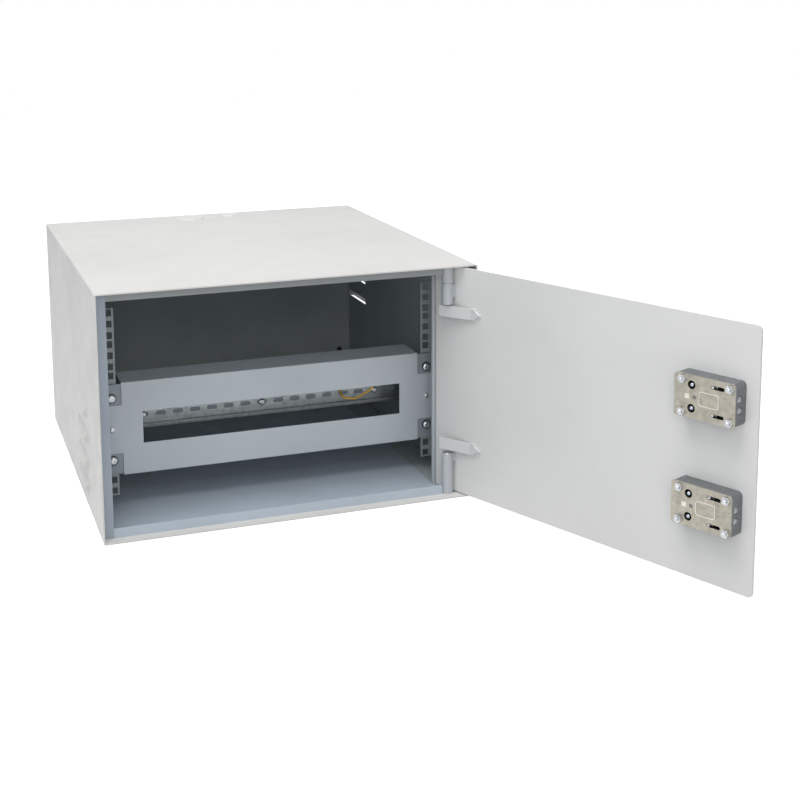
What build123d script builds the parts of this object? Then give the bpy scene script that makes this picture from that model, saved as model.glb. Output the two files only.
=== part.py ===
"""Steel 6U roadside equipment cabinet with an inner-hinged door, two deadbolt locks and a 3U DIN rail unit.

Millimetres. +X is the hinge side, +Y points into the cabinet, +Z is up. The origin is the middle of the
underside. The parts are exported with the door standing open; the closed door is door_open degrees back.
"""

import os
from math import atan2, cos, degrees, radians, sin

from build123d import *

os.makedirs("parts", exist_ok=True)

# 19-inch standard: one unit is 44.45 high, with holes at 6.35, 22.225 and 38.1 from its top
unit = 44.45
units = 6
hole_steps = (6.35, 22.225, 38.1)
panel_width = 482.6
hole_inset = 8.75  # panel's end to its hole
square_hole = 9.5

# Cabinet body
side_gap = 23.7  # outside of a side wall to the end of a rack panel
floor_gap = 23.3  # underside to the lowest rack unit
roof_gap = 46.0  # highest rack unit to the top
depth = 570.0
sheet = 2.0
corner_radius = 2.5
recess = 16.0  # front rim to the inner frame
frame_strip = 14.0  # visible strip of the inner frame, measured from the outside of the cabinet
frame_foot = 22.0
lip_height = 13.0
lip_corner = 3.5
tray_sheet = 1.5
jamb_foot = 27.0
jamb_return = 5.0
jamb_gap = 3.2

# Louvres
louvre_length = 93.0
louvre_height = 14.0
louvre_bulge = 5.5
louvre_lip = 3.0
louvre_skin = 1.5
louvre_pitch = 36.0
louvre_count = 4
inlet_front = 125.0  # front rim to the left wall's louvres
inlet_low = 28.5
outlet_back = 4.0  # back edge to the right wall's louvres
outlet_high = 40.0  # top of the cabinet to the top of the highest one

# Cable entries in the roof and fixing holes in the back
large_entry_radius = 20.3
large_entry_at = (30.0, 32.0)  # left of the middle, in from the back
small_entry_radius = 12.7
small_entry_at = (-40.0, 26.0)
plug_rim = 2.2
plug_skirt = 4.5
fixing_radius = 4.5
fixing_inset = (21.0, 74.0)

# Rack rails
rail_front = 116.0
rail_margin = 7.5  # hole's middle to the rail's inner edge
rail_foot = 27.0

# DIN rail unit
panel_clearance = 0.8  # shortfall of a panel on its whole units
unit_rows = 3
unit_first = 2.37  # units above it
ear_width = 22.8
ear_sheet = 2.0
ear_corner = 3.0
cover_sheet = 1.5
cover_fold = 1.2
cover_flange = 55.5
tab_height = 69.0
tab_corner = 2.5
side_inset = 1.5  # cover's edge to the inner face of the side plates
plate_inset = 2.0  # cover's edge to the bracket's edge, up and down
window_margin = 28.5
window_height = 46.0
rear_strip = (20.0, 33.5)  # below and above the middle of the unit
din_clearance = 2.0
din_width = 35.0
din_crown = 27.0
din_depth = 7.5
din_skin = 1.0
slot_long = 15.0
slot_wide = 6.2
slot_pitch = 25.0
slot_shift = -5.0
screw_slots = 7  # slots from one fixing screw to the next

# Fasteners
rack_thread = 3.0
cover_thread = 2.0
din_thread = 2.5
screw_lengths = (15.0, 7.0, 6.0)
nut_play = 0.3
nut_body = (12.5, 10.5, 5.0)
washer_radius = 6.8
washer = 1.2

# Earth bond
wire_radius = 1.5
earth_stud = 2.5
earth_nut = (4.6, 4.0)
lug_radius = 5.0
lug_reach = 7.0
lug_barrel = 8.0
lug_sheet = 1.0
stud_tail = 3.0
stud_a_at = (141.5, 27.5)  # in from the cover's end, up from the middle of the unit
stud_b_at = (69.5, 39.5)

# Hinges and door
door_open = 113.4
hinge_inset = 37.0  # axis to the outside of the right wall
hinge_back = 20.0  # axis behind the front rim
knuckle_radius = 8.0
pin_radius = 5.0
pin_seat = 4.0
running_fit = 0.05
press_fit = 0.02
door_gap = 1.2  # knuckle to the inner face of the door
door_sheet = 3.0
door_clearance = 2.5
door_floor_gap = 1.5
door_hinge_edge = 31.5
door_corner = 6.0
knuckle_foot = 29.5  # fixed knuckle on the floor sheet
knuckle_head = 25.0  # fixed knuckle under the roof sheet, with the play
knuckle_length = 30.0
axial_play = 0.5
ring_depth = 2.5
ring_width = 1.8
pin_sink = 0.3  # pin's end below the mouth of its knuckle
keyhole = (3.5, 2.6, 8.0)  # radius, width and length of the slot below it

# Straps on the door
strap_gap = (4.5, 2.5)  # to the knuckle below, to the knuckle above
strap_tall = 16.0
strap_skin = 3.0
strap_foot = (38.0, 54.5)
strap_rise = (-12.0, 11.5)
bead_radius = 2.3

# Locks
lock_length = 83.0
lock_height = 53.0
lock_from_edge = 17.0
lock_above = 98.0  # top of the cabinet to the middle of the upper lock
lock_below = 104.0  # underside to the middle of the lower lock
case_depth = 21.5
case_wall = 2.5
case_floor = 2.0
case_corner = 6.0
plate = 1.5
stud_radius = 3.0
stud_boss = 5.4
stud_in = (11.5, 6.5)
stud_up = 20.0
stud_proud = 7.0
nut_size = (5.2, 3.8)
bolt_radius = 4.0
bolt_centre = 13.0
bolt_spacing = 13.5
bolt_travel = 13.5
bolt_in = 47.0  # lock's near end to the tails of its bolts
bolt_chamfer = 0.8
key_in = 24.0
key_spacing = 28.6
key_hole = 5.3
key_post = 2.3
guide_slot = 4.6
guide_up = 17.0
guide_out = 23.7  # lock's far end to the middle of its guide slots
guide_pin = 1.9
carriage = 2.6  # thickness of the plate across the bolts
carriage_sink = 1.4
carriage_length = 30.0
stud_play = 0.3
screw_in = 4.3  # key holes to the plate screw
screw_radius = 1.75
screw_head = 2.3
screw_boss = 3.6
screw_long = 12.0
catch_size = (6.5, 6.0)
catch_in = 5.5
emboss = (27.0, 18.0)
emboss_in = 48.0
emboss_rim = 1.1
emboss_high = 0.6

# Worked out from the sizes above
width = panel_width + 2 * side_gap
height = floor_gap + units * unit + roof_gap
half_w = width / 2
front = -depth / 2
back = depth / 2
in_w = half_w - sheet
in_top = height - sheet
frame_y = front + recess
frame_back = frame_y + sheet
frame_in = half_w - frame_strip - sheet
frame_low = height - frame_strip
lip_top = sheet + lip_height
hinge_x = half_w - hinge_inset
hinge_y = front + hinge_back
frame_end = hinge_x - knuckle_radius - 0.2
louvre_slope = degrees(atan2(louvre_height - louvre_lip, louvre_bulge))
louvre_drop = louvre_skin / cos(radians(louvre_slope))
louvre_rise = (louvre_count - 1) * louvre_pitch
entries = [
    (large_entry_radius, (-large_entry_at[0], back - large_entry_at[1])),
    (small_entry_radius, (-small_entry_at[0], back - small_entry_at[1])),
]
rack_top = height - roof_gap
hole_z = [rack_top - u * unit - d for u in range(units) for d in hole_steps]
hole_x = panel_width / 2 - hole_inset
rail_y = front + rail_front
ear_y = rail_y - ear_sheet
cover_y = ear_y - cover_sheet
panel_height = unit_rows * unit - panel_clearance
first_hole = round(unit_first) * len(hole_steps)
screw_z = (hole_z[first_hole + 2], hole_z[first_hole + 8])
mid_z = hole_z[first_hole + 5]
panel_low = mid_z - panel_height / 2
panel_high = mid_z + panel_height / 2
cover_half = panel_width / 2 - ear_width
side_x = cover_half - side_inset
window_width = 2 * (cover_half - window_margin)
strip_y = cover_y + cover_flange + ear_sheet  # front of the rear strip
din_half = cover_half - din_clearance
din_points = [(slot_shift + k * screw_slots * slot_pitch, mid_z) for k in (-1, 0, 1)]
knuckle_split = (sheet + knuckle_foot, in_top - knuckle_head)
face_gap = knuckle_radius + door_gap
door_free = hinge_x + in_w - door_clearance
door_z = (sheet + door_floor_gap, in_top - door_floor_gap)
lock_z = (height - lock_above, lock_below)
lock_end = door_free - lock_from_edge
lock_mid = lock_end - lock_length / 2
lock_start = lock_end - lock_length

angle = radians(door_open - 90)
leaf = Plane(
    origin=(hinge_x, hinge_y, 0),
    x_dir=(sin(angle), -cos(angle), 0),
    z_dir=(-cos(angle), -sin(angle), 0),
)
inner_face = leaf.offset(-face_gap)


def facing_front(x, y, z):
    """A plane at a point whose normal is -Y, with +Z up in the sketch."""
    return Plane(origin=(x, y, z), x_dir=(1, 0, 0), z_dir=(0, -1, 0))


def across(y):
    """The XZ section plane at y; positive extrusion runs towards the front."""
    return Plane.XZ.offset(-y)


def lengthwise(x):
    """The YZ section plane at x; positive extrusion runs towards +X."""
    return Plane.YZ.offset(x)


# Folded shell: roof, sides and floor, with four louvres low on the left and four high on the right
with BuildPart() as shell:
    with BuildSketch(across(back)):
        with Locations((0, height / 2)):
            RectangleRounded(width, height, corner_radius)
            Rectangle(width - 2 * sheet, height - 2 * sheet, mode=Mode.SUBTRACT)
    extrude(amount=depth)
    outlet_front = back - outlet_back - louvre_length
    outlet_low = height - outlet_high - louvre_height - louvre_rise
    for side, y0, low in ((-1, front + inlet_front, inlet_low), (1, outlet_front, outlet_low)):
        for i in range(louvre_count):
            mouth = Plane(
                origin=(side * half_w, y0 + louvre_length / 2, low + i * louvre_pitch),
                x_dir=(0, side, 0),
                z_dir=(side, 0, 0),
            )
            with BuildSketch(mouth):
                Rectangle(louvre_length, 2 * louvre_height)
            extrude(amount=louvre_bulge, taper=louvre_slope)
            with BuildSketch(mouth):
                with Locations((0, -louvre_height)):
                    Rectangle(louvre_length + 2, 2 * louvre_height)
            extrude(amount=louvre_bulge + 1, mode=Mode.SUBTRACT)
            with BuildSketch(mouth):
                Rectangle(louvre_length - 2 * louvre_drop, 2 * (louvre_height - louvre_drop))
            extrude(amount=louvre_bulge - louvre_skin, taper=louvre_slope, mode=Mode.SUBTRACT)
            with BuildSketch(mouth):
                with Locations((0, (louvre_height - louvre_drop) / 2)):
                    Rectangle(louvre_length - 2 * louvre_drop, louvre_height - louvre_drop)
            extrude(amount=-sheet, mode=Mode.SUBTRACT)
    with BuildSketch(Plane.XY.offset(height)):
        for radius, place in entries:
            with Locations(place):
                Circle(radius)
    extrude(amount=-sheet, mode=Mode.SUBTRACT)
shell.part.label = "shell"
export_step(shell.part, "parts/shell.step")

# Back panel, set inside the shell, with four wall-fixing holes
with BuildPart() as back_panel:
    with BuildSketch(across(back)):
        with Locations((0, height / 2)):
            Rectangle(2 * in_w, height - 2 * sheet)
        fixing_x = half_w - fixing_inset[0]
        for z in (fixing_inset[1], height - fixing_inset[1]):
            with Locations((-fixing_x, z), (fixing_x, z)):
                Circle(fixing_radius, mode=Mode.SUBTRACT)
    extrude(amount=sheet)
back_panel.part.label = "back_panel"
export_step(back_panel.part, "parts/back_panel.step")

# Inner front frame: left strip, roof strip and the floor tray with its front lip
with BuildPart() as frame_left:
    with BuildSketch(Plane.XY.offset(sheet)):
        with BuildLine():
            Polyline(
                (-in_w, frame_y),
                (-frame_in, frame_y),
                (-frame_in, frame_back),
                (-in_w + sheet, frame_back),
                (-in_w + sheet, frame_back + frame_foot),
                (-in_w, frame_back + frame_foot),
                close=True,
            )
        make_face()
    extrude(amount=height - 2 * sheet)
frame_left.part.label = "frame_left"
export_step(frame_left.part, "parts/frame_left.step")

with BuildPart() as frame_top:
    with BuildSketch(lengthwise(-frame_in)):
        with BuildLine():
            Polyline(
                (frame_y, in_top),
                (frame_y, frame_low),
                (frame_back, frame_low),
                (frame_back, in_top - sheet),
                (frame_back + frame_foot, in_top - sheet),
                (frame_back + frame_foot, in_top),
                close=True,
            )
        make_face()
    extrude(amount=frame_end + frame_in)
frame_top.part.label = "frame_top"
export_step(frame_top.part, "parts/frame_top.step")

with BuildPart() as floor_tray:
    with BuildSketch(lengthwise(-in_w + sheet)):
        with BuildLine():
            Polyline(
                (frame_y, sheet),
                (back - sheet, sheet),
                (back - sheet, sheet + tray_sheet),
                (frame_back, sheet + tray_sheet),
                (frame_back, lip_top),
                (frame_y, lip_top),
                close=True,
            )
        make_face()
    extrude(amount=frame_end - 0.8 + in_w - sheet)
    with BuildSketch(Plane.XY.offset(sheet)):
        with Locations(((-in_w - frame_in) / 2, (frame_y + frame_back) / 2)):
            Rectangle(in_w - frame_in, sheet)
    extrude(amount=lip_top, mode=Mode.SUBTRACT)
    lip_end = floor_tray.edges().filter_by(Axis.Y).group_by(Axis.Z)[-1].sort_by(Axis.X)[-1]
    fillet(lip_end, lip_corner)
floor_tray.part.label = "floor_tray"
export_step(floor_tray.part, "parts/floor_tray.step")

# Right jamb, set back behind the swing of the door's hinge edge, with a narrow return
jamb_y = hinge_y + (door_hinge_edge**2 + (face_gap + door_sheet) ** 2) ** 0.5 + jamb_gap
jamb_in = frame_end + 0.6
with BuildPart() as jamb_right:
    with BuildSketch(Plane.XY.offset(sheet)):
        with BuildLine():
            Polyline(
                (jamb_in, jamb_y),
                (in_w, jamb_y),
                (in_w, jamb_y + jamb_foot),
                (in_w - sheet, jamb_y + jamb_foot),
                (in_w - sheet, jamb_y + sheet),
                (jamb_in + sheet, jamb_y + sheet),
                (jamb_in + sheet, jamb_y + jamb_return),
                (jamb_in, jamb_y + jamb_return),
                close=True,
            )
        make_face()
        bend = vertices().group_by(Axis.Y)[0].sort_by(Axis.X)[0]
        fillet(bend, 0.9 * sheet)
    extrude(amount=height - 2 * sheet)
jamb_right.part.label = "jamb_right"
export_step(jamb_right.part, "parts/jamb_right.step")

# Blanking plugs in the two cable entries
for name, (radius, place) in zip(("entry_plug_large", "entry_plug_small"), entries):
    rim = radius * 0.12 + plug_rim
    with BuildPart() as plug:
        with BuildSketch(Plane.XZ.offset(-place[1])):
            with BuildLine():
                Polyline(
                    (place[0], height + 1.2),
                    (place[0] + radius - 3.5, height + 1.2),
                    (place[0] + radius - 1.5, height + 2.2),
                    (place[0] + radius + rim - 1.2, height + 1.8),
                    (place[0] + radius + rim, height),
                    (place[0] + radius - 0.3, height),
                    (place[0] + radius - 0.3, in_top),
                    (place[0] + radius + 0.5, in_top),
                    (place[0] + radius - 0.6, in_top - plug_skirt),
                    (place[0] + radius - plug_rim, in_top - plug_skirt),
                    (place[0] + radius - plug_rim, height - 0.6),
                    (place[0], height - 0.6),
                    close=True,
                )
            make_face()
        revolve(axis=Axis((place[0], place[1], 0), (0, 0, 1)))
    plug.part.label = name
    export_step(plug.part, f"parts/{name}.step")

# Rack rails with square holes
for name, side in (("rack_rail_left", -1), ("rack_rail_right", 1)):
    with BuildPart() as rail:
        with BuildSketch(Plane.XY.offset(floor_gap)):
            with BuildLine():
                Polyline(
                    (side * (hole_x - rail_margin), rail_y),
                    (side * in_w, rail_y),
                    (side * in_w, rail_y + rail_foot),
                    (side * (in_w - sheet), rail_y + rail_foot),
                    (side * (in_w - sheet), rail_y + sheet),
                    (side * (hole_x - rail_margin), rail_y + sheet),
                    close=True,
                )
            make_face()
        extrude(amount=units * unit)
        with BuildSketch(across(rail_y + sheet)):
            with Locations(*[(side * hole_x, z) for z in hole_z]):
                Rectangle(square_hole, square_hole)
        extrude(amount=sheet, mode=Mode.SUBTRACT)
    rail.part.label = name
    export_step(rail.part, f"parts/{name}.step")

# Folded bracket of the unit: two ears, two side plates and a rear strip that carries the DIN rail
with BuildPart() as din_bracket:
    with BuildSketch(Plane.XY.offset(panel_low + plate_inset)):
        with BuildLine():
            Polyline(
                (-panel_width / 2, ear_y),
                (-side_x, ear_y),
                (-side_x, strip_y),
                (side_x, strip_y),
                (side_x, ear_y),
                (panel_width / 2, ear_y),
                (panel_width / 2, ear_y + ear_sheet),
                (side_x + ear_sheet, ear_y + ear_sheet),
                (side_x + ear_sheet, strip_y + ear_sheet),
                (-side_x - ear_sheet, strip_y + ear_sheet),
                (-side_x - ear_sheet, ear_y + ear_sheet),
                (-panel_width / 2, ear_y + ear_sheet),
                close=True,
            )
        make_face()
    extrude(amount=panel_height - 2 * plate_inset)
    with BuildSketch(across(strip_y + ear_sheet + 1)):
        with Locations((0, (panel_low + mid_z - rear_strip[0]) / 2)):
            Rectangle(2 * side_x, mid_z - rear_strip[0] - panel_low)
        with Locations((0, (panel_high + mid_z + rear_strip[1]) / 2)):
            Rectangle(2 * side_x, panel_high - mid_z - rear_strip[1])
    extrude(amount=ear_sheet + 2, mode=Mode.SUBTRACT)
    with BuildSketch(across(ear_y + ear_sheet)):
        with Locations(*[(x, z) for x in (-hole_x, hole_x) for z in screw_z]):
            SlotOverall(3.5 * rack_thread, 2 * rack_thread + 0.8)
        with Locations((-hole_x, mid_z), (hole_x, mid_z)):
            Circle(cover_thread + press_fit)
    extrude(amount=ear_sheet, mode=Mode.SUBTRACT)
    with BuildSketch(across(strip_y + ear_sheet)):
        with Locations(*din_points):
            Circle(din_thread + press_fit)
    extrude(amount=ear_sheet, mode=Mode.SUBTRACT)
    ear_corners = din_bracket.edges().filter_by(Axis.Y).group_by(Axis.X)
    fillet(ear_corners[0] + ear_corners[-1], ear_corner)
din_bracket.part.label = "din_bracket"
export_step(din_bracket.part, "parts/din_bracket.step")

# Front cover of the unit: a window, notched corners that leave the ears bare, folded top and bottom
with BuildPart() as unit_cover:
    with BuildSketch(across(ear_y)):
        with Locations((0, mid_z)):
            Rectangle(2 * cover_half, panel_height)
            RectangleRounded(panel_width, tab_height, tab_corner)
            Rectangle(window_width, window_height, mode=Mode.SUBTRACT)
        with Locations((-hole_x, mid_z), (hole_x, mid_z)):
            Circle(cover_thread + 0.3, mode=Mode.SUBTRACT)
    extrude(amount=cover_sheet)
    with BuildSketch(across(ear_y)):
        with Locations((0, panel_low + cover_sheet / 2), (0, panel_high - cover_sheet / 2)):
            Rectangle(2 * cover_half, cover_sheet)
    extrude(amount=-(cover_flange - cover_sheet))
    folds = unit_cover.edges().filter_by(Axis.X).group_by(Axis.Y)[0]
    fillet(folds.filter_by(lambda e: abs(e.length - 2 * cover_half) < 0.1), cover_fold)
unit_cover.part.label = "unit_cover"
export_step(unit_cover.part, "parts/unit_cover.step")

# Slotted 35 mm top-hat rail
hat_y = strip_y - din_depth
crown = din_crown / 2
with BuildPart() as din_rail:
    with BuildSketch(lengthwise(-din_half)):
        with BuildLine():
            Polyline(
                (hat_y, mid_z - din_width / 2),
                (hat_y + din_skin, mid_z - din_width / 2),
                (hat_y + din_skin, mid_z - crown),
                (strip_y, mid_z - crown),
                (strip_y, mid_z + crown),
                (hat_y + din_skin, mid_z + crown),
                (hat_y + din_skin, mid_z + din_width / 2),
                (hat_y, mid_z + din_width / 2),
                (hat_y, mid_z + crown - din_skin),
                (strip_y - din_skin, mid_z + crown - din_skin),
                (strip_y - din_skin, mid_z - crown + din_skin),
                (hat_y, mid_z - crown + din_skin),
                close=True,
            )
        make_face()
    extrude(amount=2 * din_half)
    reach = int((din_half - abs(slot_shift) - slot_long / 2) / slot_pitch)
    with BuildSketch(across(strip_y)):
        with Locations(*[(slot_shift + k * slot_pitch, mid_z) for k in range(-reach, reach + 1)]):
            SlotOverall(slot_long, slot_wide)
    extrude(amount=din_skin, mode=Mode.SUBTRACT)
din_rail.part.label = "din_rail"
export_step(din_rail.part, "parts/din_rail.step")

# Cage nuts, washers and screws that hold the unit to the rack rails
rack_points = [(x, z) for x in (-hole_x, hole_x) for z in screw_z]
with BuildPart() as cage_nuts:
    for x, z in rack_points:
        with BuildSketch(facing_front(x, rail_y, z)):
            Rectangle(square_hole - nut_play, square_hole - nut_play)
        extrude(amount=-sheet)
        with BuildSketch(facing_front(x, rail_y + sheet, z)):
            Rectangle(nut_body[0], nut_body[1])
        extrude(amount=-nut_body[2])
        with BuildSketch(facing_front(x, rail_y, z)):
            Circle(rack_thread + press_fit)
        extrude(amount=-(sheet + nut_body[2]), mode=Mode.SUBTRACT)
cage_nuts.part.label = "cage_nuts"
export_step(cage_nuts.part, "parts/cage_nuts.step")

with BuildPart() as rack_washers:
    for x, z in rack_points:
        with BuildSketch(facing_front(x, ear_y, z)):
            Circle(washer_radius)
            Circle(rack_thread + 0.2, mode=Mode.SUBTRACT)
        extrude(amount=washer)
rack_washers.part.label = "rack_washers"
export_step(rack_washers.part, "parts/rack_washers.step")

# Pan-head screws with a cross recess: for the rack, for the cover and for the DIN rail
cover_points = [(-hole_x, mid_z), (hole_x, mid_z)]
for name, points, y, thread, long in (
    ("rack_screws", rack_points, ear_y - washer, rack_thread, screw_lengths[0]),
    ("cover_screws", cover_points, cover_y, cover_thread, screw_lengths[1]),
    ("din_screws", din_points, strip_y - din_skin, din_thread, screw_lengths[2]),
):
    head = 1.9 * thread
    tall = 1.2 * thread
    with BuildPart() as screws:
        for x, z in points:
            with BuildSketch(Plane.XY.offset(z)):
                with BuildLine():
                    Polyline(
                        (x, y - tall),
                        (x + head * 0.6, y - tall),
                        (x + head * 0.92, y - tall * 0.7),
                        (x + head, y - tall * 0.3),
                        (x + head, y),
                        (x + thread, y),
                        (x + thread, y + long - 0.6),
                        (x + thread - 0.4, y + long),
                        (x, y + long),
                        close=True,
                    )
                make_face()
            revolve(axis=Axis((x, 0, z), (0, 1, 0)))
            with BuildSketch(facing_front(x, y - tall, z)):
                Rectangle(head, head * 0.24)
                Rectangle(head * 0.24, head)
            extrude(amount=-tall * 0.5, mode=Mode.SUBTRACT)
    screws.part.label = name
    export_step(screws.part, f"parts/{name}.step")

# Earth bond between the cover and the rear strip
stud_a = (cover_half - stud_a_at[0], mid_z + stud_a_at[1])  # on the rear strip
stud_b = (cover_half - stud_b_at[0], mid_z + stud_b_at[1])  # on the cover
wire_y_a = strip_y - wire_radius - 0.9
wire_y_b = ear_y + wire_radius + 0.9
with BuildPart() as earth_studs:
    with BuildSketch(facing_front(stud_a[0], strip_y, stud_a[1])):
        Circle(earth_stud)
    extrude(amount=lug_sheet + earth_nut[1] + stud_tail)
    with BuildSketch(facing_front(stud_b[0], ear_y, stud_b[1])):
        Circle(earth_stud)
    extrude(amount=-(lug_sheet + earth_nut[1] + stud_tail))
earth_studs.part.label = "earth_studs"
export_step(earth_studs.part, "parts/earth_studs.step")

with BuildPart() as earth_nuts:
    with BuildSketch(facing_front(stud_a[0], strip_y - lug_sheet, stud_a[1])):
        RegularPolygon(earth_nut[0], 6)
        Circle(earth_stud + running_fit, mode=Mode.SUBTRACT)
    extrude(amount=earth_nut[1])
    with BuildSketch(facing_front(stud_b[0], ear_y + lug_sheet, stud_b[1])):
        RegularPolygon(earth_nut[0], 6)
        Circle(earth_stud + running_fit, mode=Mode.SUBTRACT)
    extrude(amount=-earth_nut[1])
earth_nuts.part.label = "earth_nuts"
export_step(earth_nuts.part, "parts/earth_nuts.step")

with BuildPart() as earth_lugs:
    with BuildSketch(facing_front(stud_a[0], strip_y, stud_a[1])):
        Circle(lug_radius)
        with Locations((lug_reach / 2 + 1, 0)):
            Rectangle(lug_reach, 2.3 * wire_radius)
        Circle(earth_stud + 0.2, mode=Mode.SUBTRACT)
    extrude(amount=lug_sheet)
    with BuildSketch(facing_front(stud_b[0], ear_y + lug_sheet, stud_b[1])):
        Circle(lug_radius)
        with Locations((0, -lug_reach / 2 - 1)):
            Rectangle(2.3 * wire_radius, lug_reach)
        Circle(earth_stud + 0.2, mode=Mode.SUBTRACT)
    extrude(amount=lug_sheet)
    barrel_a = Plane(origin=(stud_a[0] + lug_reach, wire_y_a, stud_a[1]), z_dir=(1, 0, 0))
    barrel_b = Plane(origin=(stud_b[0], wire_y_b, stud_b[1] - lug_reach), z_dir=(0, 0, -1))
    for barrel in (barrel_a, barrel_b):
        with BuildSketch(barrel):
            Circle(wire_radius + 0.8)
        extrude(amount=lug_barrel)
        with BuildSketch(barrel):
            Circle(wire_radius + running_fit)
        extrude(amount=lug_barrel, mode=Mode.SUBTRACT)
earth_lugs.part.label = "earth_lugs"
export_step(earth_lugs.part, "parts/earth_lugs.step")

wire_start = (stud_a[0] + lug_reach + 1.0, wire_y_a, stud_a[1])
wire_end = (stud_b[0], wire_y_b, stud_b[1] - lug_reach - 1.0)
with BuildPart() as earth_wire:
    with BuildLine() as wire_path:
        FilletPolyline(
            wire_start,
            (wire_start[0] + 18.0, wire_y_a, stud_a[1]),
            (stud_a[0] + 35.0, strip_y - 29.0, mid_z + 1.0),
            (stud_b[0] - 20.0, strip_y - 34.0, mid_z - 0.5),
            (wire_end[0], wire_end[1], wire_end[2] - 13.0),
            wire_end,
            radius=8.0,
        )
    with BuildSketch(Plane(origin=wire_start, z_dir=(1, 0, 0))):
        Circle(wire_radius)
    sweep()
earth_wire.part.label = "earth_wire"
export_step(earth_wire.part, "parts/earth_wire.step")

# Fixed hinge knuckles, hinge pins and the knuckles of the door
upper_low = knuckle_split[1] - knuckle_length
lower_high = knuckle_split[0] + knuckle_length
axis_at = (hinge_x, hinge_y)
head_low = knuckle_split[1] + axial_play
with BuildPart() as fixed_knuckles:
    for low, high, mouth, deep in (
        (sheet, knuckle_split[0], knuckle_split[0], sheet + pin_seat - knuckle_split[0]),
        (head_low, in_top, head_low, in_top - pin_seat - head_low),
    ):
        with BuildSketch(Plane.XY.offset(low)):
            with Locations(axis_at):
                Circle(knuckle_radius)
        extrude(amount=high - low)
        with BuildSketch(Plane.XY.offset(mouth)):
            with Locations(axis_at):
                Circle(pin_radius + press_fit)
        extrude(amount=deep, mode=Mode.SUBTRACT)
fixed_knuckles.part.label = "fixed_knuckles"
export_step(fixed_knuckles.part, "parts/fixed_knuckles.step")

with BuildPart() as hinge_pins:
    for low, high in ((sheet + pin_seat, lower_high - pin_sink), (upper_low + pin_sink, in_top - pin_seat)):
        with BuildSketch(Plane.XY.offset(low)):
            with Locations(axis_at):
                Circle(pin_radius)
        extrude(amount=high - low)
    chamfer(hinge_pins.edges().filter_by(GeomType.CIRCLE), 0.6)
hinge_pins.part.label = "hinge_pins"
export_step(hinge_pins.part, "parts/hinge_pins.step")

with BuildPart() as door_knuckles:
    for low, bead, rim, inward in (
        (knuckle_split[0], (16.0, 28.0), lower_high, -ring_depth),
        (upper_low, (8.0, 28.5), upper_low, ring_depth),
    ):
        with BuildSketch(inner_face):
            with Locations((knuckle_radius / 2, low + sum(bead) / 2)):
                RectangleRounded(knuckle_radius - 1, bead[1] - bead[0], 1.5)
        extrude(amount=door_gap + knuckle_radius / 2, taper=12)
        with BuildSketch(Plane.XY.offset(low)):
            with Locations(axis_at):
                Circle(knuckle_radius)
        extrude(amount=knuckle_length)
        with BuildSketch(Plane.XY.offset(low)):
            with Locations(axis_at):
                Circle(pin_radius + running_fit)
        extrude(amount=knuckle_length, mode=Mode.SUBTRACT)
        with BuildSketch(Plane.XY.offset(rim)):
            with Locations(axis_at):
                Circle(pin_radius + ring_width)
        extrude(amount=inward, mode=Mode.SUBTRACT)
door_knuckles.part.label = "door_knuckles"
export_step(door_knuckles.part, "parts/door_knuckles.step")

# Door leaf: a flat plate with rounded free corners, drilled for one keyhole per lock
key_s = lock_start + key_in
with BuildPart() as door_leaf:
    with BuildSketch(inner_face):
        with Locations(((door_free - door_hinge_edge) / 2, sum(door_z) / 2)):
            Rectangle(door_free + door_hinge_edge, door_z[1] - door_z[0])
        for zc in lock_z:
            with Locations((key_s, zc - key_spacing / 2)):
                Circle(keyhole[0], mode=Mode.SUBTRACT)
            with Locations((key_s, zc - key_spacing / 2 - keyhole[2] / 2 - 1)):
                Rectangle(keyhole[1], keyhole[2], mode=Mode.SUBTRACT)
    extrude(amount=-door_sheet)
    upright = door_leaf.edges().filter_by(lambda e: abs(e.length - door_sheet) < 0.01)
    free_side = upright.sort_by(Axis((0, 0, 0), tuple(leaf.x_dir)))[-2:]
    fillet(free_side, door_corner)
door_leaf.part.label = "door_leaf"
export_step(door_leaf.part, "parts/door_leaf.step")

# Bent straps over the hinge side of the door, each with a pointed end held by three weld beads
strap_z = (upper_low - strap_gap[1] - strap_tall / 2, lower_high + strap_gap[0] + strap_tall / 2)
shoulder = strap_foot[0] + 4.0
with BuildPart() as hinge_straps:
    for zc in strap_z:
        corner = leaf.from_local_coords((0, zc - strap_tall / 2, -face_gap))
        with BuildSketch(Plane(origin=corner, x_dir=leaf.x_dir, z_dir=(0, 0, 1))):
            with BuildLine():
                Polyline(
                    (strap_foot[1], 0),
                    (strap_foot[1], -strap_skin),
                    (strap_foot[0] + 0.4, -strap_skin),
                    (strap_rise[0], -strap_rise[1] - strap_skin),
                    (strap_rise[0], -strap_rise[1]),
                    (strap_foot[0], 0),
                    close=True,
                )
            make_face()
        extrude(amount=strap_tall)
        with BuildSketch(inner_face):
            for sign in (-1, 1):
                with BuildLine():
                    Polyline(
                        (shoulder, zc + sign * strap_tall / 2),
                        (strap_foot[1] + 1, zc + sign * strap_tall / 2),
                        (strap_foot[1] + 1, zc),
                        (strap_foot[1], zc),
                        close=True,
                    )
                make_face()
        extrude(amount=strap_skin + 1, mode=Mode.SUBTRACT)
        with BuildSketch(inner_face):
            with Locations(
                (shoulder + 0.8, zc + strap_tall / 2 - 0.8),
                (shoulder + 0.8, zc - strap_tall / 2 + 0.8),
                (strap_foot[1] - 1.0, zc),
            ):
                Circle(bead_radius)
        extrude(amount=strap_skin + 0.5, taper=14)
hinge_straps.part.label = "hinge_straps"
export_step(hinge_straps.part, "parts/hinge_straps.step")

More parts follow.
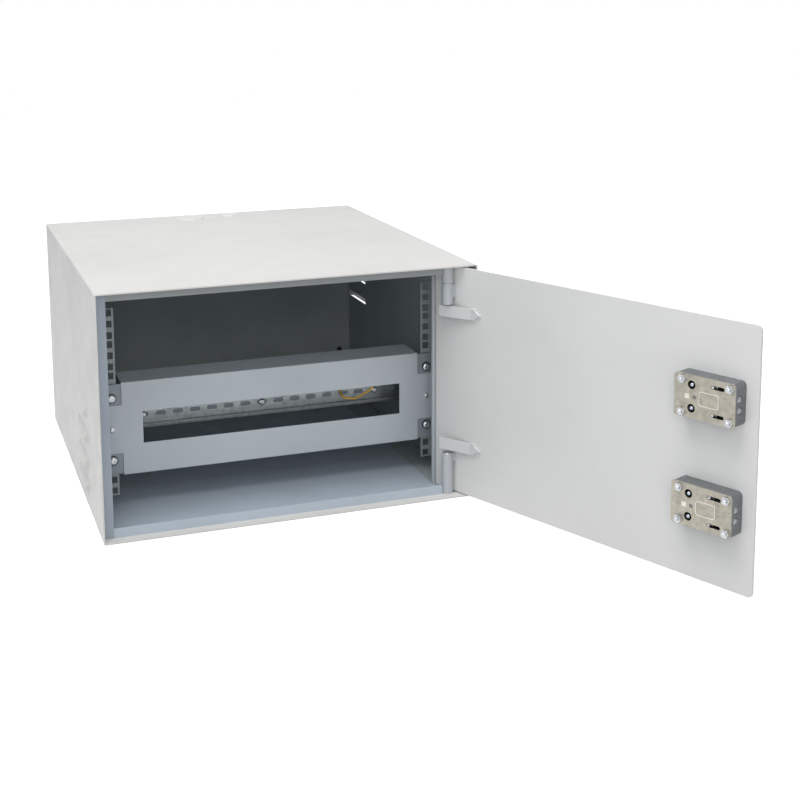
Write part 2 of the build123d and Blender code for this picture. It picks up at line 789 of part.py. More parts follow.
# The two locks: case, cover plate, bolt carriage with twin bolts, and key posts
stud_s = (lock_start + stud_in[0], lock_end - stud_in[1])
guide_mid = lock_end - guide_out
guide_long = bolt_travel + guide_slot + 0.4
pin_s = guide_mid - bolt_travel / 2
screw_s = key_s + screw_in
bolt_tail = lock_start + bolt_in
carriage_low = bolt_centre + bolt_radius - carriage_sink
lid = case_depth + plate
for level, zc in (("upper", lock_z[0]), ("lower", lock_z[1])):
    studs = [(s, zc + u) for s in stud_s for u in (-stud_up, stud_up)]
    keys = [(key_s, zc - key_spacing / 2), (key_s, zc + key_spacing / 2)]
    bolts = [zc - bolt_spacing / 2, zc + bolt_spacing / 2]
    tips = [leaf.from_local_coords((lock_end, z, bolt_centre - face_gap)) for z in bolts]
    ends = [Plane(origin=tip, x_dir=(0, 0, 1), z_dir=leaf.x_dir) for tip in tips]
    with BuildPart() as lock_case:
        with BuildSketch(inner_face):
            with Locations((lock_mid, zc)):
                RectangleRounded(lock_length, lock_height, case_corner)
        extrude(amount=case_depth)
        with BuildSketch(inner_face.offset(case_floor)):
            with Locations((lock_mid, zc)):
                hollow = (lock_length - 2 * case_wall, lock_height - 2 * case_wall)
                RectangleRounded(hollow[0], hollow[1], case_corner - case_wall)
        extrude(amount=case_depth - case_floor, mode=Mode.SUBTRACT)
        with BuildSketch(inner_face.offset(case_floor)):
            with Locations(*studs):
                Circle(stud_boss)
            with Locations((screw_s, zc)):
                Circle(screw_boss)
        extrude(amount=case_depth - case_floor)
        with BuildSketch(inner_face):
            with Locations(*studs):
                Circle(stud_radius + stud_play)
            with Locations(keys[0]):
                Circle(key_post + 1.7)
        extrude(amount=case_depth, mode=Mode.SUBTRACT)
        with BuildSketch(inner_face.offset(case_floor + 2)):
            with Locations((screw_s, zc)):
                Circle(screw_radius + press_fit)
        extrude(amount=case_depth - case_floor - 2, mode=Mode.SUBTRACT)
        for end in ends:
            with BuildSketch(end):
                Circle(bolt_radius + 0.3)
            extrude(amount=-case_wall - 0.5, mode=Mode.SUBTRACT)
    lock_case.part.label = f"lock_case_{level}"
    export_step(lock_case.part, f"parts/lock_case_{level}.step")

    with BuildPart() as lock_plate:
        with BuildSketch(inner_face.offset(case_depth)):
            with Locations((lock_mid, zc)):
                RectangleRounded(lock_length, lock_height, case_corner - 1.5)
            with Locations(*studs):
                Circle(stud_radius + stud_play, mode=Mode.SUBTRACT)
            with Locations(*keys):
                Circle(key_hole, mode=Mode.SUBTRACT)
            with Locations((screw_s, zc)):
                Circle(screw_head + 0.3, mode=Mode.SUBTRACT)
            with Locations((guide_mid, zc + guide_up), (guide_mid, zc - guide_up)):
                SlotOverall(guide_long, guide_slot, mode=Mode.SUBTRACT)
        extrude(amount=plate)
        with BuildSketch(inner_face.offset(lid)):
            with Locations((key_s - catch_in, zc)):
                RectangleRounded(catch_size[0], catch_size[1], 0.8)
            with Locations((lock_start + emboss_in, zc)):
                RectangleRounded(emboss[0], emboss[1], 3.5)
                inside = (emboss[0] - 2 * emboss_rim, emboss[1] - 2 * emboss_rim)
                RectangleRounded(inside[0], inside[1], 2.4, mode=Mode.SUBTRACT)
        extrude(amount=emboss_high)
    lock_plate.part.label = f"lock_plate_{level}"
    export_step(lock_plate.part, f"parts/lock_plate_{level}.step")

    with BuildPart() as lock_bolts:
        for end in ends:
            with BuildSketch(end):
                Circle(bolt_radius)
            extrude(amount=bolt_in - lock_length)
        chamfer(lock_bolts.edges().filter_by(GeomType.CIRCLE), bolt_chamfer)
        with BuildSketch(inner_face.offset(carriage_low)):
            with Locations((bolt_tail + 2.0, zc)):
                Rectangle(carriage_length, bolt_spacing + 2 * bolt_radius + 4.0)
            with Locations((pin_s, zc)):
                Rectangle(2 * guide_pin + 3.8, 2 * guide_up + 5.0)
        extrude(amount=carriage)
        with BuildSketch(inner_face.offset(carriage_low + carriage / 2)):
            with Locations((pin_s, zc + guide_up), (pin_s, zc - guide_up)):
                Circle(guide_pin)
        extrude(amount=lid - pin_sink - carriage_low - carriage / 2)
    lock_bolts.part.label = f"lock_bolts_{level}"
    export_step(lock_bolts.part, f"parts/lock_bolts_{level}.step")

    with BuildPart() as key_guides:
        with BuildSketch(inner_face.offset(case_floor)):
            with Locations(keys[1]):
                Circle(key_hole - 1.0)
        extrude(amount=5.0)
        with BuildSketch(inner_face.offset(case_floor)):
            with Locations(keys[0]):
                Circle(key_hole - 0.3)
                Circle(key_post + 1.7, mode=Mode.SUBTRACT)
                Rectangle(1.2, 2 * key_hole)
        extrude(amount=3.0)
        with BuildSketch(inner_face.offset(case_floor + 1.0)):
            with Locations(*keys):
                Circle(key_post)
        extrude(amount=lid - case_floor - 1.0)
        chamfer(key_guides.faces().group_by(Axis((0, 0, 0), tuple(leaf.z_dir)))[-1].edges(), 0.7)
    key_guides.part.label = f"key_guides_{level}"
    export_step(key_guides.part, f"parts/key_guides_{level}.step")

# Studs, nuts and plate screws of both locks
all_studs = [(s, zc + u) for zc in lock_z for s in stud_s for u in (-stud_up, stud_up)]
with BuildPart() as lock_studs:
    with BuildSketch(inner_face):
        with Locations(*all_studs):
            Circle(stud_radius)
    extrude(amount=lid + stud_proud)
    rings = lock_studs.edges().filter_by(GeomType.CIRCLE).sort_by(Axis((0, 0, 0), tuple(leaf.z_dir)))
    chamfer(rings[-len(all_studs):], 0.7)
lock_studs.part.label = "lock_studs"
export_step(lock_studs.part, "parts/lock_studs.step")

with BuildPart() as lock_nuts:
    with BuildSketch(inner_face.offset(lid)):
        with Locations(*all_studs):
            RegularPolygon(nut_size[0], 6)
            Circle(stud_radius + running_fit, mode=Mode.SUBTRACT)
    extrude(amount=nut_size[1])
lock_nuts.part.label = "lock_nuts"
export_step(lock_nuts.part, "parts/lock_nuts.step")

with BuildPart() as lock_plate_screws:
    for zc in lock_z:
        with BuildSketch(inner_face.offset(case_depth)):
            with Locations((screw_s, zc)):
                Circle(screw_head)
        extrude(amount=plate - 0.5)
        with BuildSketch(inner_face.offset(case_depth)):
            with Locations((screw_s, zc)):
                Circle(screw_radius)
        extrude(amount=-screw_long)
        with BuildSketch(inner_face.offset(lid)):
            with Locations((screw_s, zc)):
                Rectangle(3.2, 0.7)
        extrude(amount=-1.1, mode=Mode.SUBTRACT)
lock_plate_screws.part.label = "lock_plate_screws"
export_step(lock_plate_screws.part, "parts/lock_plate_screws.step")
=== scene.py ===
"""Looks for the steel roadside cabinet: camera, procedural finishes, closing pieces, floor and light."""

import math

import bmesh
import bpy
from mathutils import Matrix, Vector


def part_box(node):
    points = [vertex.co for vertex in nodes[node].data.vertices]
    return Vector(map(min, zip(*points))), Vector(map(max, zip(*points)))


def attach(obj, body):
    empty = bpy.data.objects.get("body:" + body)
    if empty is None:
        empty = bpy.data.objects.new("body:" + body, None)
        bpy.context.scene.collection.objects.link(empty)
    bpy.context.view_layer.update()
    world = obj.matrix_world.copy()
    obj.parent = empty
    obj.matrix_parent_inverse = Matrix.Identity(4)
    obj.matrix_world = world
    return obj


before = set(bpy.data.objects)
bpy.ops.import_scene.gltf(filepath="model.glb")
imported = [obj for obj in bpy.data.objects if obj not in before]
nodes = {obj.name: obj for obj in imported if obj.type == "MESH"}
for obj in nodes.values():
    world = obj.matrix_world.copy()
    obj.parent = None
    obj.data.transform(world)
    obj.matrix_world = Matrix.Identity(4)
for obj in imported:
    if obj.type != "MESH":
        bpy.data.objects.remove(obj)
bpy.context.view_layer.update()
scene = bpy.context.scene

# Camera, fitted to the photograph by given points

PHOTO_SIZE = 800  # pixels, both ways
SENSOR_MM = 36
EYE_MM = (-484.785, -1985.109, 713.949)
YAW, PITCH, ROLL = 0.324333, 0.156691, -0.009632
FOCAL_PX = 1355.238
CENTRE_PX = (355.731, 205.0)
CLIP_NEAR, CLIP_FAR = 0.05, 50


def camera_place():
    """The camera's matrix: turned by yaw, tipped down by pitch, and rolled about its own line of sight."""
    ahead = Vector((math.sin(YAW) * math.cos(PITCH), math.cos(YAW) * math.cos(PITCH), -math.sin(PITCH)))
    level = Vector((math.cos(YAW), -math.sin(YAW), 0))
    rise = level.cross(ahead)
    right = level * math.cos(ROLL) + rise * math.sin(ROLL)
    up = rise * math.cos(ROLL) - level * math.sin(ROLL)
    turn = Matrix((right, up, -ahead)).transposed()
    return Matrix.Translation(Vector(EYE_MM) / 1000) @ turn.to_4x4()


def add_camera():
    data = bpy.data.cameras.new("camera")
    data.sensor_width = SENSOR_MM
    data.lens = FOCAL_PX / PHOTO_SIZE * SENSOR_MM
    data.shift_x = (PHOTO_SIZE / 2 - CENTRE_PX[0]) / PHOTO_SIZE
    data.shift_y = (CENTRE_PX[1] - PHOTO_SIZE / 2) / PHOTO_SIZE
    data.clip_start, data.clip_end = CLIP_NEAR, CLIP_FAR
    camera = bpy.data.objects.new("camera", data)
    scene.collection.objects.link(camera)
    camera.matrix_world = camera_place()
    scene.camera = camera


add_camera()

# Node helpers

COLOUR_A, COLOUR_B, COLOUR_OUT = 6, 7, 2  # sockets of a Mix node that mixes colours
NOISE_ROUGHNESS = 0.55
FLAT, TURNED_AWAY = 0.98, 0.80  # how well the softened normal keeps to the surface's own


class Tree:
    """A node tree, with short calls for the nodes that the finishes and the world share."""

    def __init__(self, tree):
        self.tree = tree

    def find(self, kind):
        """The node of a type that a new tree already holds."""
        return next(node for node in self.tree.nodes if node.type == kind)

    def add(self, kind, **props):
        node = self.tree.nodes.new(kind)
        for key, value in props.items():
            setattr(node, key, value)
        return node

    def put(self, value, socket):
        """Links a socket to another, or sets it to a number, a vector or a colour."""
        if isinstance(value, bpy.types.NodeSocket):
            self.tree.links.new(value, socket)
        elif isinstance(value, (tuple, list)) and len(value) == 3 and socket.type == "RGBA":
            socket.default_value = (*value, 1)
        else:
            socket.default_value = value

    def maths(self, operation, a, b=0.0):
        node = self.add("ShaderNodeMath", operation=operation)
        self.put(a, node.inputs[0])
        self.put(b, node.inputs[1])
        return node.outputs[0]

    def white_to_viewer(self, plain, white, output):
        """Lights the object with the plain shader, and shows the white one as background and reflection."""
        path = self.add("ShaderNodeLightPath")
        seen = self.maths("MAXIMUM", path.outputs["Is Camera Ray"], path.outputs["Is Glossy Ray"])
        seen = self.maths("MAXIMUM", seen, path.outputs["Is Transmission Ray"])
        blend = self.add("ShaderNodeMixShader")
        self.put(seen, blend.inputs[0])
        self.put(plain, blend.inputs[1])
        self.put(white, blend.inputs[2])
        self.put(blend.outputs[0], self.find(output).inputs["Surface"])


class Finish(Tree):
    """A material's node tree. Its patterns lie in the resting object's own metres."""

    def __init__(self, name):
        self.mat = bpy.data.materials.new(name)
        self.mat.use_nodes = True
        super().__init__(self.mat.node_tree)
        self.bsdf = self.find("BSDF_PRINCIPLED")
        self.own = self.add("ShaderNodeTexCoord").outputs["Object"]

    def noise(self, scale, detail=3.0, stretch=(1, 1, 1)):
        """Cloudy noise from 0 to 1, drawn out along an axis by a stretch below 1."""
        place = self.add("ShaderNodeVectorMath", operation="MULTIPLY")
        self.put(self.own, place.inputs[0])
        place.inputs[1].default_value = stretch
        node = self.add("ShaderNodeTexNoise")
        self.put(place.outputs[0], node.inputs["Vector"])
        self.put(float(scale), node.inputs["Scale"])
        self.put(float(detail), node.inputs["Detail"])
        self.put(NOISE_ROUGHNESS, node.inputs["Roughness"])
        return node.outputs["Fac"]

    def along(self, direction, start):
        """How far a point of the resting object lies beyond a start, along a direction."""
        dot = self.add("ShaderNodeVectorMath", operation="DOT_PRODUCT")
        self.put(self.own, dot.inputs[0])
        dot.inputs[1].default_value = direction
        return self.maths("SUBTRACT", dot.outputs["Value"], Vector(direction).dot(start))

    def span(self, value, low, high, out_low=0.0, out_high=1.0):
        """A value between low and high, moved to lie between two others and held there."""
        node = self.add("ShaderNodeMapRange")
        sockets = ("Value", "From Min", "From Max", "To Min", "To Max")
        for key, setting in zip(sockets, (value, low, high, out_low, out_high)):
            self.put(setting, node.inputs[key])
        return node.outputs[0]

    def mix(self, factor, a, b):
        """The first colour at a factor of 0, and the second at 1."""
        node = self.add("ShaderNodeMix", data_type="RGBA")
        self.put(factor, node.inputs[0])
        self.put(a, node.inputs[COLOUR_A])
        self.put(b, node.inputs[COLOUR_B])
        return node.outputs[COLOUR_OUT]

    def edges(self, radius):
        """Two outputs: 1 on edges and 0 on flats, and the normal softened over the edges."""
        surface = self.add("ShaderNodeNewGeometry")
        bevel = self.add("ShaderNodeBevel", samples=4)
        self.put(radius, bevel.inputs["Radius"])
        dot = self.add("ShaderNodeVectorMath", operation="DOT_PRODUCT")
        self.put(bevel.outputs[0], dot.inputs[0])
        self.put(surface.outputs["True Normal"], dot.inputs[1])
        return self.span(dot.outputs["Value"], low=FLAT, high=TURNED_AWAY), bevel.outputs[0]

    def wear_and_highlight(self, base, mask, strength, tone):
        """Shows a paler tone where a mask marks them: wear on rubbed edges, and a painted highlight on
        raised marks.
        """
        return self.mix(self.maths("MULTIPLY", mask, strength), base, tone)

    def bump(self, height, distance, strength, normal=None):
        """The normal of a surface raised by a pattern, over an earlier normal where one is given."""
        node = self.add("ShaderNodeBump")
        self.put(height, node.inputs["Height"])
        self.put(float(distance), node.inputs["Distance"])
        self.put(float(strength), node.inputs["Strength"])
        if normal is not None:
            self.put(normal, node.inputs["Normal"])
        return node.outputs[0]

    def finish(self, color, roughness, metallic, normal):
        """Sets the shader and returns the material."""
        self.put(color, self.bsdf.inputs["Base Color"])
        self.put(roughness, self.bsdf.inputs["Roughness"])
        self.put(float(metallic), self.bsdf.inputs["Metallic"])
        self.put(normal, self.bsdf.inputs["Normal"])
        return self.mat


def shade(tone, factor, lift=0.0):
    """A tone made darker or paler, and never above white."""
    return tuple(min(1.0, c * factor + lift) for c in tone)


# Kinds of finish, with depths and edge widths in metres

PEEL_DEPTH = 0.00012
GRAIN_DEPTH = 0.00004
STREAK_DEPTH = 0.00005
STIPPLE_DEPTH = 0.00006
FINE_EDGE = 0.0003
PLATE_EDGE = 0.0004
SHELL_EDGE = 0.0005
COAT_SPECULAR = 0.45
WORN_ZINC = (0.9, 0.9, 0.9)


def clouds(coat, scale):
    """Soft wide patches in a coat, from 0 to 1."""
    return coat.span(coat.noise(scale, detail=4.0), low=0.35, high=0.72)


def specks(coat, base, tone):
    """Sparse fine specks in a coat."""
    sparse = coat.span(coat.noise(scale=420.0, detail=2.0), low=0.58, high=0.8, out_high=0.25)
    return coat.mix(sparse, base, tone)


def orange_peel(coat, base, glossy, dull, normal):
    """Completes a powder coat with its uneven gloss and its fine orange peel."""
    roughness = coat.span(coat.noise(scale=26.0), 0.3, 0.75, glossy, dull)
    peel = coat.bump(coat.noise(scale=900.0, detail=2.0), PEEL_DEPTH, strength=0.35, normal=normal)
    coat.bsdf.inputs["Specular IOR Level"].default_value = COAT_SPECULAR
    return coat.finish(base, roughness, 0.0, peel)


def powder_coat(name, tone, rough=0.42, soil=0.10, edge=0.0004):
    """Textured powder coat: cloudy tone, fine specks, and paler rubbed edges."""
    coat = Finish(name)
    rim, soft = coat.edges(edge)
    base = coat.mix(clouds(coat, scale=5.0), tone, shade(tone, 1 - soil))
    base = specks(coat, base, shade(tone, 0.82))
    base = coat.wear_and_highlight(base, rim, 0.5, shade(tone, 1.1))
    return orange_peel(coat, base, rough - 0.06, rough + 0.10, soft)


def plated(name, tone, other, rough=0.30, grain=900.0, stretch=(1, 1, 1), metal=0.9):
    """Zinc plate: mottled tone, faint drawn grain, brighter worn edges."""
    zinc = Finish(name)
    rim, soft = zinc.edges(FINE_EDGE)
    mottle = zinc.span(zinc.noise(scale=160.0, detail=4.0), low=0.35, high=0.7)
    base = zinc.mix(mottle, tone, other)
    base = zinc.wear_and_highlight(base, rim, 0.25, WORN_ZINC)
    streak = zinc.noise(grain, detail=2.0, stretch=stretch)
    roughness = zinc.span(streak, 0.3, 0.75, rough - 0.05, rough + 0.16)
    drawn = zinc.bump(streak, GRAIN_DEPTH, strength=0.4, normal=soft)
    return zinc.finish(base, roughness, metal, drawn)


def moulded(name, tone, rough=0.5):
    """Moulded plastic: fine stipple and slightly uneven gloss."""
    plastic = Finish(name)
    rim, soft = plastic.edges(FINE_EDGE)
    mottle = plastic.span(plastic.noise(scale=60.0), low=0.3, high=0.75)
    base = plastic.mix(mottle, tone, shade(tone, 0.85))
    base = plastic.wear_and_highlight(base, rim, 0.3, shade(tone, 1.25, lift=0.02))
    roughness = plastic.span(plastic.noise(scale=45.0), 0.3, 0.7, rough - 0.08, rough + 0.1)
    stipple = plastic.bump(plastic.noise(scale=700.0, detail=2.0), STIPPLE_DEPTH, strength=0.4, normal=soft)
    return plastic.finish(base, roughness, 0.0, stipple)


# The shell's coat, with painted shade on its inside

OUTSIDE = (0.71, 0.695, 0.675)
# painted shade: the shell's light grey paint made darker for its unlit inside and for the back panel
SHADED_INSIDE = (0.45, 0.50, 0.51)
SHELL_RIM = (0.80, 0.80, 0.79)
SHADE_LINE = 0.0004  # how near to an inner face the painted shade begins
BEHIND_STRIP = 0.001  # how far behind the roof strip's front it begins
LINE_BLEND = 0.0002


def inside_shade_mask(coat):
    """1 on the shell's inner faces behind the roof strip, where shade is painted, and 0 on its outside and
    front rim.
    """
    lo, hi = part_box("back_panel")
    xyz = coat.add("ShaderNodeSeparateXYZ")
    coat.put(coat.own, xyz.inputs[0])
    side = coat.maths("SUBTRACT", hi.x + SHADE_LINE, coat.maths("ABSOLUTE", xyz.outputs[0]))
    roof = coat.maths("SUBTRACT", hi.z + SHADE_LINE, xyz.outputs[2])
    base = coat.maths("SUBTRACT", xyz.outputs[2], lo.z - SHADE_LINE)
    depth = coat.maths("SUBTRACT", xyz.outputs[1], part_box("frame_top")[0].y + BEHIND_STRIP)
    inside = coat.maths("MINIMUM", coat.maths("MINIMUM", side, roof), coat.maths("MINIMUM", base, depth))
    return coat.span(inside, 0.0, LINE_BLEND)


def shell_coat():
    """The coat outside and on the front rim, and painted shade behind the inner frame: the same paint made
    darker there.
    """
    coat = Finish("coat_shell")
    cloud = clouds(coat, scale=4.0)
    rim, soft = coat.edges(SHELL_EDGE)
    outer = coat.mix(cloud, OUTSIDE, shade(OUTSIDE, 0.93))
    outer = specks(coat, outer, shade(OUTSIDE, 0.84))
    outer = coat.wear_and_highlight(outer, rim, 0.5, SHELL_RIM)
    # painted shade on the inner faces, with the same clouds as outside
    inner = coat.mix(cloud, SHADED_INSIDE, shade(SHADED_INSIDE, 0.8))
    base = coat.mix(inside_shade_mask(coat), outer, inner)
    return orange_peel(coat, base, glossy=0.36, dull=0.54, normal=soft)


# The locks' covers, which stand at the angle of the open door

DOOR_OPEN = 113.4  # degrees from closed
past_square = math.radians(DOOR_OPEN - 90)
DOOR_NORMAL = Vector((-math.cos(past_square), -math.sin(past_square), 0))
MARK_HEIGHT = 0.0006
PLATE_PALE = (0.40, 0.37, 0.31)
PLATE_DARK = (0.27, 0.255, 0.22)
PLATE_STREAK = (0.50, 0.48, 0.43)
PLATE_MARK_HIGHLIGHT = (0.74, 0.73, 0.68)
PLATE_RIM = (0.85, 0.85, 0.82)


def lid_point(level):
    """A point on the outer face of a lock's cover, below its raised marks."""
    mesh = nodes[f"lock_plate_{level}"].data
    top = max(DOOR_NORMAL.dot(v.co) for v in mesh.vertices)
    return DOOR_NORMAL * (top - MARK_HEIGHT)


def pressed_plate(level):
    """A lock's cover: drawn zinc with a warm cast, paler rims, and a painted highlight on its raised marks.
    """
    zinc = Finish(f"plate_{level}")
    rim, soft = zinc.edges(PLATE_EDGE)
    mottle = zinc.span(zinc.noise(scale=120.0, detail=4.0), low=0.35, high=0.7)
    base = zinc.mix(mottle, PLATE_PALE, PLATE_DARK)
    streak = zinc.noise(scale=500.0, stretch=(0.12, 0.12, 1))
    base = zinc.mix(zinc.span(streak, low=0.45, high=0.75, out_high=0.5), base, PLATE_STREAK)
    height = zinc.along(DOOR_NORMAL, lid_point(level))
    # painted highlight on the cover's raised marks
    raised = zinc.span(height, low=MARK_HEIGHT / 3, high=MARK_HEIGHT * 2 / 3)
    base = zinc.wear_and_highlight(base, raised, 0.7, PLATE_MARK_HIGHLIGHT)
    base = zinc.wear_and_highlight(base, rim, 0.35, PLATE_RIM)
    roughness = zinc.span(streak, 0.3, 0.75, 0.30, 0.52)
    drawn = zinc.bump(streak, STREAK_DEPTH, strength=0.4, normal=soft)
    return zinc.finish(base, roughness, metallic=0.8, normal=drawn)


# Each node's finish

BLACK = (0.02, 0.02, 0.022)
ALONG_RAIL = (0.05, 1, 1)  # grain drawn out along the rail


def dress(material, *names):
    """Gives nodes a material in place of the one they were packed with."""
    for name in names:
        mesh = nodes[name].data
        mesh.materials.clear()
        mesh.materials.append(material)


shell_paint = shell_coat()
dress(shell_paint, "shell")
# The back panel in the same painted shade as the shell's inside.
dress(powder_coat("coat_back", SHADED_INSIDE, rough=0.5, soil=0.2), "back_panel")
# The inner frame strips: the cabinet's paint made darker and bluer as painted shade, with the top strip
# darkest under the roof.
dress(powder_coat("coat_frame", (0.35, 0.40, 0.47)), "frame_left")
dress(powder_coat("coat_frame_top", (0.31, 0.33, 0.34)), "frame_top")
# Floor tray and right jamb: the paint made darker and bluer as painted shade.
dress(powder_coat("coat_tray", (0.50, 0.57, 0.65)), "floor_tray")
dress(powder_coat("coat_jamb", (0.50, 0.54, 0.58)), "jamb_right")
dress(powder_coat("coat_door", (0.76, 0.76, 0.76), rough=0.40, soil=0.07), "door_leaf")
# Knuckles: the door's paint made darker and bluer as painted shade.
dress(powder_coat("coat_knuckles", (0.50, 0.53, 0.57), rough=0.40, soil=0.07),
      "door_knuckles", "fixed_knuckles")
dress(powder_coat("coat_strap", (0.67, 0.68, 0.69), rough=0.40, soil=0.05, edge=0.0008), "hinge_straps")
# Unit cover and its bracket: light grey paint made darker and bluer as painted shade.
dress(powder_coat("coat_unit", (0.57, 0.62, 0.67)), "unit_cover")
dress(powder_coat("coat_bracket", (0.31, 0.355, 0.40)), "din_bracket")
# Rack rails: a dark tone, partly their own and partly painted shade of the inside.
dress(powder_coat("coat_rails", (0.33, 0.37, 0.37), rough=0.45, soil=0.2),
      "rack_rail_left", "rack_rail_right")
dress(moulded("plug", (0.80, 0.80, 0.78), rough=0.45), "entry_plug_large", "entry_plug_small")
dress(plated("zinc", (0.62, 0.64, 0.66), (0.42, 0.44, 0.47)),
      "rack_screws", "cover_screws", "din_screws", "lock_studs", "lock_nuts", "hinge_pins",
      "earth_studs", "earth_nuts", "cage_nuts")
dress(plated("zinc_screw", (0.22, 0.22, 0.22), (0.14, 0.14, 0.14)), "lock_plate_screws")
dress(plated("zinc_rail", (0.34, 0.37, 0.38), (0.24, 0.27, 0.28), rough=0.38, grain=500.0,
             stretch=ALONG_RAIL), "din_rail")
dress(moulded("washer", BLACK), "rack_washers")
dress(plated("tin", (0.66, 0.66, 0.63), (0.50, 0.50, 0.48), rough=0.4), "earth_lugs")
dress(moulded("wire", (0.72, 0.42, 0.05), rough=0.42), "earth_wire")
dress(pressed_plate("upper"), "lock_plate_upper")
dress(pressed_plate("lower"), "lock_plate_lower")
dress(plated("zinc_bolts", (0.48, 0.49, 0.50), (0.36, 0.37, 0.39), rough=0.34, grain=700.0),
      "lock_bolts_upper", "lock_bolts_lower")
dress(plated("zinc_guides", (0.46, 0.50, 0.55), (0.34, 0.38, 0.44), rough=0.32),
      "key_guides_upper", "key_guides_lower")
dress(plated("case", (0.20, 0.21, 0.22), (0.14, 0.15, 0.16), rough=0.42, grain=500.0, metal=0.35),
      "lock_case_upper", "lock_case_lower")

# Small pieces that the solids lack, in metres

SHEET = 0.002
LOUVRE_LONG = 0.093
LOUVRE_TALL = 0.014
LOUVRE_FALL = 2.0  # how much higher than deep the slope of a louvre is
LOUVRE_SKIN = 0.00335
LOUVRE_PITCH = 0.036
CUT_AT = 0.008  # height above a louvre's lower edge at which its solid stops
CUT_LOUVRES = 3  # on each side wall, from the lowest up
INLET_FROM_FRONT = 0.125
INLET_FROM_BASE = 0.0285
OUTLET_FROM_BACK = 0.004
OUTLET_FROM_ROOF = 0.162
PLUG_RADIUS = 0.00445
PLUG_THICK = 0.0012
PLUG_FROM_SIDE = 0.021
PLUG_FROM_END = 0.074

shell_low, shell_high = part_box("shell")
side_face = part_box("back_panel")[1].x + SHEET


def add_mesh(name, bm, material):
    """Turns a bmesh into an object with one material."""
    mesh = bpy.data.meshes.new(name)
    bm.to_mesh(mesh)
    bm.free()
    mesh.materials.append(material)
    obj = bpy.data.objects.new(name, mesh)
    scene.collection.objects.link(obj)
    return obj


def louvre_top(bm, side, y, low):
    """Adds the hollow sloping top of one louvre, above the height at which its solid stops."""
    corners = []
    for inset in (0.0, LOUVRE_SKIN):
        tall, half = LOUVRE_TALL - inset, LOUVRE_LONG / 2 - inset
        out = (tall - CUT_AT) / LOUVRE_FALL
        for u, length, z in ((0, half, CUT_AT), (0, half, tall), (out, half - out * LOUVRE_FALL, CUT_AT)):
            for end in (-1, 1):
                corners.append(bm.verts.new((side * (side_face + u), y + end * length, low + z)))
    outer = [(2, 3, 5, 4), (0, 2, 4), (3, 1, 5)]
    inner = [(8, 10, 11, 9), (6, 10, 8), (9, 11, 7)]
    between = [(0, 4, 10, 6), (4, 5, 11, 10), (5, 1, 7, 11), (0, 6, 8, 2), (2, 8, 9, 3), (3, 9, 7, 1)]
    for face in outer + inner + between:
        bm.faces.new([corners[i] for i in face])


def louvre_tops():
    """Closes the tops of the cut louvres in both side walls."""
    inlet = (-1, shell_low.y + INLET_FROM_FRONT + LOUVRE_LONG / 2, shell_low.z + INLET_FROM_BASE)
    outlet = (1, shell_high.y - OUTLET_FROM_BACK - LOUVRE_LONG / 2, shell_high.z - OUTLET_FROM_ROOF)
    bm = bmesh.new()
    for side, y, lowest in (inlet, outlet):
        for k in range(CUT_LOUVRES):
            louvre_top(bm, side, y, lowest + k * LOUVRE_PITCH)
    bmesh.ops.recalc_face_normals(bm, faces=bm.faces)
    obj = add_mesh("louvre_tops", bm, shell_paint)
    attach(obj, "cabinet")


def wall_plugs():
    """Black plugs that close the unused wall-fixing holes."""
    bm = bmesh.new()
    for x in (-side_face + PLUG_FROM_SIDE, side_face - PLUG_FROM_SIDE):
        for z in (shell_low.z + PLUG_FROM_END, shell_high.z - PLUG_FROM_END):
            middle = Matrix.Translation((x, shell_high.y - SHEET / 2, z))
            place = middle @ Matrix.Rotation(math.pi / 2, 4, "X")
            bmesh.ops.create_cone(bm, cap_ends=True, segments=32, radius1=PLUG_RADIUS, radius2=PLUG_RADIUS,
                                  depth=PLUG_THICK, matrix=place)
    obj = add_mesh("wall_plugs", bm, moulded("plug_black", BLACK))
    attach(obj, "cabinet")


louvre_tops()
wall_plugs()

# Floor, light and white background

FLOOR_HALF = 6
FLOOR_DROP = 0.0005
FLOOR_GRAIN = 0.0001
FLOOR_TONE = (0.60, 0.60, 0.60)
FLOOR_GLOW = 0.85
SKY_TONE = (0.88, 0.94, 1.0)
SKY_LIGHT = 0.44
WHITE = (1.0, 1.0, 1.0)


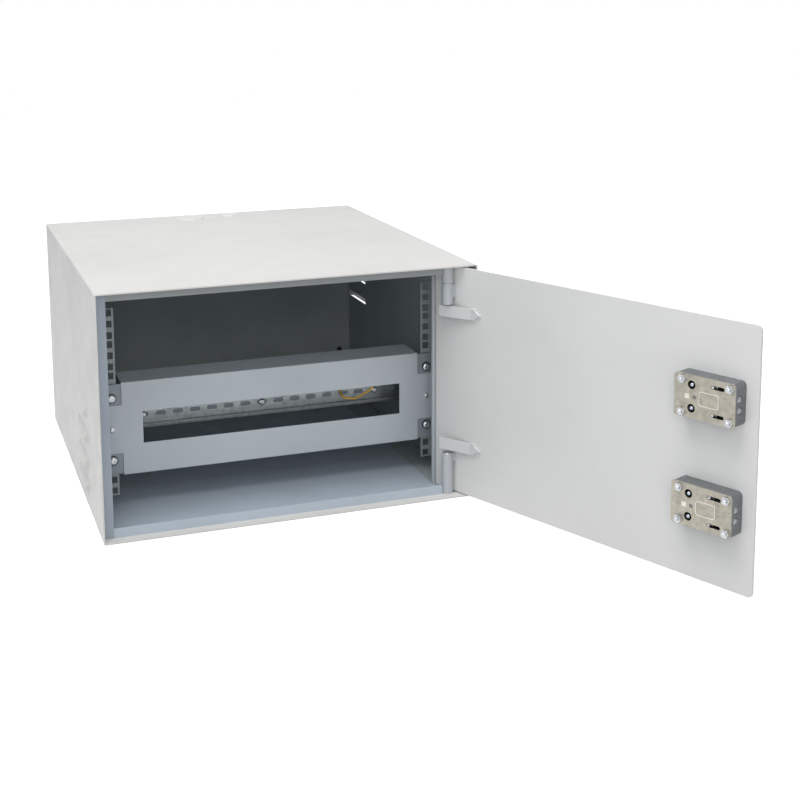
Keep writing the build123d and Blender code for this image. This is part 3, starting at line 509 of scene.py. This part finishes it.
def add_floor():
    """A pale floor that keeps the object's shadow and glows only to the viewer."""
    matte = Finish("floor")
    grain = matte.bump(matte.noise(scale=60.0), FLOOR_GRAIN, strength=0.1)
    matte.finish(FLOOR_TONE, roughness=0.9, metallic=0.0, normal=grain)
    glow = matte.add("ShaderNodeEmission")
    matte.put(WHITE, glow.inputs["Color"])
    matte.put(FLOOR_GLOW, glow.inputs["Strength"])
    both = matte.add("ShaderNodeAddShader")
    matte.put(matte.bsdf.outputs[0], both.inputs[0])
    matte.put(glow.outputs[0], both.inputs[1])
    matte.white_to_viewer(matte.bsdf.outputs[0], both.outputs[0], "OUTPUT_MATERIAL")
    bm = bmesh.new()
    bmesh.ops.create_grid(bm, x_segments=8, y_segments=8, size=FLOOR_HALF)
    obj = add_mesh("floor", bm, matte.mat)
    obj.location = (0, 0, -FLOOR_DROP)


def add_world():
    """Cool light from all round, and plain white where the viewer sees past the floor."""
    world = bpy.data.worlds.new("white")
    scene.world = world
    world.use_nodes = True
    around = Tree(world.node_tree)
    sky = around.find("BACKGROUND")
    around.put(SKY_TONE, sky.inputs["Color"])
    around.put(SKY_LIGHT, sky.inputs["Strength"])
    white = around.add("ShaderNodeBackground")
    around.put(WHITE, white.inputs["Color"])
    around.put(1.0, white.inputs["Strength"])
    around.white_to_viewer(sky.outputs[0], white.outputs[0], "OUTPUT_WORLD")


def softbox(name, place, target, size, power, color):
    """A square lamp that faces a target."""
    data = bpy.data.lights.new(name, "AREA")
    data.shape = "RECTANGLE"
    data.size, data.size_y = size, size
    data.energy = power
    data.color = color
    obj = bpy.data.objects.new(name, data)
    obj.location = place
    obj.rotation_euler = (Vector(target) - Vector(place)).to_track_quat("-Z", "Y").to_euler()
    scene.collection.objects.link(obj)


add_floor()
add_world()
softbox("key", (-0.7, -1.0, 3.1), target=(0.1, -0.2, 0.15), size=2.0, power=66, color=(1.0, 0.99, 0.97))
softbox("fill", (-0.3, -1.9, 0.9), target=(0.42, -0.7, 0.25), size=0.7, power=6, color=(1.0, 0.95, 0.88))

scene.view_settings.view_transform = "Standard"
